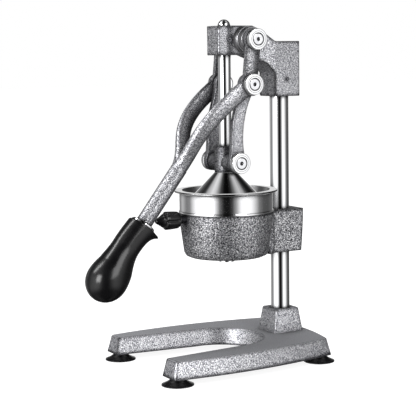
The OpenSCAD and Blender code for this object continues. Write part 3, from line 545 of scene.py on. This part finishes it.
def show(name, mesh, node):
    """Shows a mesh in the place of a CAD node, with the node's finish, body and slot."""
    for face in mesh.polygons:
        face.use_smooth = True
    mesh.materials.append(finish_of(node))
    piece = bpy.data.objects.new(name, mesh)
    scene.collection.objects.link(piece)
    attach(piece, nodes[node]["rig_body"])
    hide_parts(node)
    return piece


# Widths of the rounded edges on castings, sheet and screw heads
ROUNDED = {
    "base": 0.0011, "head_bracket": 0.0013, "cup_holder": 0.0012,
    "left_link": 0.0010, "right_link": 0.0010, "crosshead": 0.0008, "lever_yoke": 0.0008,
    "strainer_cup": 0.0004, "funnel_cup": 0.0003,
    "upper_pivot_screws": 0.0004, "middle_pivot_screws": 0.0004, "lower_pivot_screws": 0.0004,
}
ROUNDED_SEGMENTS = 3
ROUNDED_FROM = math.radians(32.0)
WELD_DISTANCE = 2e-6
FLAT_WITHIN = math.radians(0.6)


def skin(node, width):
    """A casting's visible skin: the CAD node's own form with rounded edges."""
    shape = bmesh.new()
    shape.from_mesh(nodes[node].data)
    bmesh.ops.remove_doubles(shape, verts=shape.verts, dist=WELD_DISTANCE)
    bmesh.ops.dissolve_limit(shape, angle_limit=FLAT_WITHIN, verts=shape.verts, edges=shape.edges)
    mesh = bpy.data.meshes.new("cast_" + node)
    shape.to_mesh(mesh)
    shape.free()
    custom = mesh.attributes.get("custom_normal")
    if custom:
        mesh.attributes.remove(custom)
    mesh.materials.clear()
    bevel = show("cast_" + node, mesh, node).modifiers.new("rounding", "BEVEL")
    bevel.width = width
    bevel.segments = ROUNDED_SEGMENTS
    bevel.limit_method = "ANGLE"
    bevel.angle_limit = ROUNDED_FROM
    bevel.harden_normals = True


for name, width in ROUNDED.items():
    skin(name, width)


def ringed(name, node, rings, axes, closed=True, crisp=0):
    """A solid through rings of equally many points; it takes the node's place, body and finish.
    Without closed, the last ring joins the first one; edges sharper than crisp stay hard."""
    count = len(rings[0])
    shape = bmesh.new()
    rows = [[shape.verts.new(point) for point in ring] for ring in rings]
    if not closed:
        rows.append(rows[0])
    for low, high in zip(rows, rows[1:]):
        for k in range(count):
            m = (k + 1) % count
            shape.faces.new((low[k], low[m], high[m], high[k]))
    if closed:
        shape.faces.new(list(reversed(rows[0])))
        shape.faces.new(rows[-1])
    bmesh.ops.recalc_face_normals(shape, faces=shape.faces)
    bmesh.ops.transform(shape, matrix=axes, verts=shape.verts)
    mesh = bpy.data.meshes.new(name)
    shape.to_mesh(mesh)
    shape.free()
    show(name, mesh, node)
    if crisp:
        mesh.set_sharp_from_angle(angle=math.radians(crisp))


def circle(radius, height, count, ripple=None):
    """A ring of points round Z; ripple gives the share of the radius at an angle."""
    points = []
    for k in range(count):
        angle = math.tau * k / count
        r = radius * (ripple(angle) if ripple else 1.0)
        points.append((r * math.cos(angle), r * math.sin(angle), height))
    return points


# The handle's own axes: z runs down the shaft from the ferrule, y points to the guard.
HANDLE = (Matrix.Translation((0, -0.106, 0.1676))
          @ Matrix.Rotation(math.radians(180), 4, "Z") @ Matrix.Rotation(math.radians(218), 4, "X"))
GRIP_START = 0.0027
GRIP_LENGTH = 0.0976
GRIP_POINTS = 96

# Shares of the grip's length
MOUTH_END = 0.012
GUARD_AT = 0.014
WAIST_END = 0.3
SWAY_END = 0.56
BULB_AT = 0.74
LAST_SHARE = 0.9995

MOUTH_R = 0.0168
WAIST_R = 0.016
BULB_R = 0.0234
MOUTH_SHARE = 0.93
SWAY = -0.0026
GUARD_ROOT = 0.0008
GUARD_REACH = 0.0084
GUARD_RISE = 1.3
GUARD_FALL = 0.05
GUARD_SPREAD = 0.7


def grip_ring(share):
    """Section of the grip: a swaying waist, a round bulb and a guard that flares out by the top."""
    if share < WAIST_END:
        radius = MOUTH_R - (MOUTH_R - WAIST_R) * math.sin(math.pi / 2 * share / WAIST_END)
    elif share < BULB_AT:
        swelling = (1 - math.cos(math.pi * (share - WAIST_END) / (BULB_AT - WAIST_END))) / 2
        radius = WAIST_R + (BULB_R - WAIST_R) * swelling
    else:
        radius = BULB_R * math.sqrt(max(0.0, 1 - ((share - BULB_AT) / (1 - BULB_AT)) ** 2))
    if share < MOUTH_END:
        radius *= MOUTH_SHARE + (1 - MOUTH_SHARE) * math.sqrt(share / MOUTH_END)
    lift = SWAY * math.sin(math.pi * min(1.0, share / SWAY_END))
    if share < GUARD_AT:
        guard = GUARD_ROOT + (GUARD_REACH - GUARD_ROOT) * (share / GUARD_AT) ** GUARD_RISE
    else:
        guard = GUARD_REACH * math.exp(-(share - GUARD_AT) / GUARD_FALL)
    points = []
    for k in range(GRIP_POINTS):
        angle = math.tau * k / GRIP_POINTS
        off = abs((angle - math.pi / 2 + math.pi) % math.tau - math.pi)
        r = radius + guard * math.exp(-(off / GUARD_SPREAD) ** 2)
        height = GRIP_START + share * GRIP_LENGTH
        points.append((r * math.cos(angle), lift + r * math.sin(angle), height))
    return points


# Sections of the grip: by the guard, along the body up to the bulb, and round its end
GUARD_SECTIONS = [0.0, 0.004, MOUTH_END] + [0.02 + 0.006 * k for k in range(20)]
BODY_START = 0.15
BODY_STEPS = 48
END_STEPS = 22
shares = list(GUARD_SECTIONS)
shares += [BODY_START + (BULB_AT - BODY_START) * k / BODY_STEPS for k in range(BODY_STEPS + 1)]
shares += [BULB_AT + (1 - BULB_AT) * math.sin(math.pi / 2 * k / END_STEPS)
           for k in range(1, END_STEPS)]
shares.append(LAST_SHARE)
ringed("grip_moulding", "handle_grip", [grip_ring(share) for share in shares], HANDLE)

knob_low, knob_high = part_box("clamp_knob")
KNOB_LENGTH = knob_high.y - knob_low.y
KNOB_R = 0.0103
KNOB_POINTS = 144
KNOB_RIBS = 6
GROOVE_DEPTH = 0.16
GROOVE_WIDTH = 0.15
KNOB_CRISP = 38
KNOB = (Matrix.Translation((0, knob_high.y, (knob_low.z + knob_high.z) / 2))
        @ Matrix.Rotation(math.radians(90), 4, "X"))
# Share of the length, share of the radius, and share of the grooves' depth
KNOB_PROFILE = (
    (0.0, 0.74, 0), (0.02, 0.84, 0), (0.05, 0.9, 0.4), (0.08, 0.93, 1), (0.2, 0.96, 1),
    (0.35, 0.985, 1), (0.5, 1.0, 1), (0.57, 1.0, 1), (0.59, 0.97, 1), (0.61, 0.9, 0.9),
    (0.625, 0.82, 0.5), (0.63, 0.62, 0), (0.66, 0.6, 0), (0.665, 0.7, 0), (0.68, 0.72, 0),
    (0.7, 0.72, 0), (0.715, 0.68, 0), (0.8, 0.52, 0), (0.9, 0.36, 0), (0.96, 0.27, 0),
    (0.985, 0.22, 0), (0.999, 0.1, 0),
)


def knob_ring(place, size, depth):
    """Rounded ribs with narrow grooves between them."""
    pitch = math.tau / KNOB_RIBS

    def ripple(angle):
        off = (angle + pitch / 2) % pitch - pitch / 2
        return size * (1 - GROOVE_DEPTH * depth * math.exp(-(off / GROOVE_WIDTH) ** 2))
    return circle(KNOB_R, place * KNOB_LENGTH, KNOB_POINTS, ripple)


ringed("knob_moulding", "clamp_knob", [knob_ring(*stop) for stop in KNOB_PROFILE], KNOB,
       crisp=KNOB_CRISP)


TURNED_POINTS = 96
TURNED_CRISP = 24
SIDES = ((1, "right"), (-1, "left"))


def pivot_axes(low, high, start, side):
    """Axes at the middle of a box over both sides: z runs outwards along X from start."""
    return (Matrix.Translation((side * start, (low.y + high.y) / 2, (low.z + high.z) / 2))
            @ Matrix.Rotation(math.radians(90 * side), 4, "Y"))


# Stepped spacer rings at the upper pivot: share of the length and share of the radius
RING_PROFILE = (
    (0.0, 0.95), (0.03, 1.0), (0.38, 1.0), (0.4, 0.98), (0.405, 0.9), (0.45, 0.9),
    (0.455, 0.98), (0.475, 1.0), (0.53, 1.0), (0.55, 0.98), (0.56, 0.86), (0.62, 0.86),
    (0.63, 0.91), (0.65, 0.925), (0.97, 0.925), (1.0, 0.89),
)
RING_START = 0.0138
ring_low, ring_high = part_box("upper_spacer_rings")
ring_r = (ring_high.z - ring_low.z) / 2
ring_length = ring_high.x - RING_START
for side, label in SIDES:
    rings = [circle(ring_r * size, place * ring_length, TURNED_POINTS)
             for place, size in RING_PROFILE]
    ringed("spacer_rings_" + label, "upper_spacer_rings", rings,
           pivot_axes(ring_low, ring_high, RING_START, side), crisp=TURNED_CRISP)

# Radius and place of a collar's turned outline. Places below zero are shares of the sleeve that
# reaches inwards from the collar.
COLLAR_PROFILE = (
    (0.00305, -1.0), (0.0054, -1.0), (0.0055, -0.96), (0.0055, -0.01), (0.0058, 0.0), (0.0112, 0.0),
    (0.0116, 0.0001), (0.0118, 0.0004), (0.0118, 0.0019), (0.01175, 0.0021), (0.0114, 0.0022),
    (0.0114, 0.0025), (0.01175, 0.0026), (0.0118, 0.0028), (0.0118, 0.0052), (0.0117, 0.0056),
    (0.0115, 0.0059), (0.0112, 0.00605), (0.0109, 0.0061), (0.0092, 0.0061), (0.0090, 0.00596),
    (0.0088, 0.0061), (0.0073, 0.0061), (0.0070, 0.0059), (0.0067, 0.0053),
    (0.0064, 0.0048), (0.0064, 0.0029), (0.0063, 0.0028),
    (0.0031, 0.0028),
)
COLLAR_LENGTH = 0.0061
for level in ("upper", "middle", "lower"):
    node = level + "_pivot_collars"
    low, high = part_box(node)
    start = high.x - COLLAR_LENGTH
    sleeve = start - min(abs(vertex.co.x) for vertex in nodes[node].data.vertices)
    for side, label in SIDES:
        rings = [circle(radius, place * sleeve if place < 0 else place, TURNED_POINTS)
                 for radius, place in COLLAR_PROFILE]
        ringed(level + "_collar_" + label, node, rings, pivot_axes(low, high, start, side),
               closed=False, crisp=TURNED_CRISP)

# The chrome shows the studio alone, as clean stripes.
for piece in scene.objects:
    if piece.type == "MESH":
        piece.visible_glossy = False
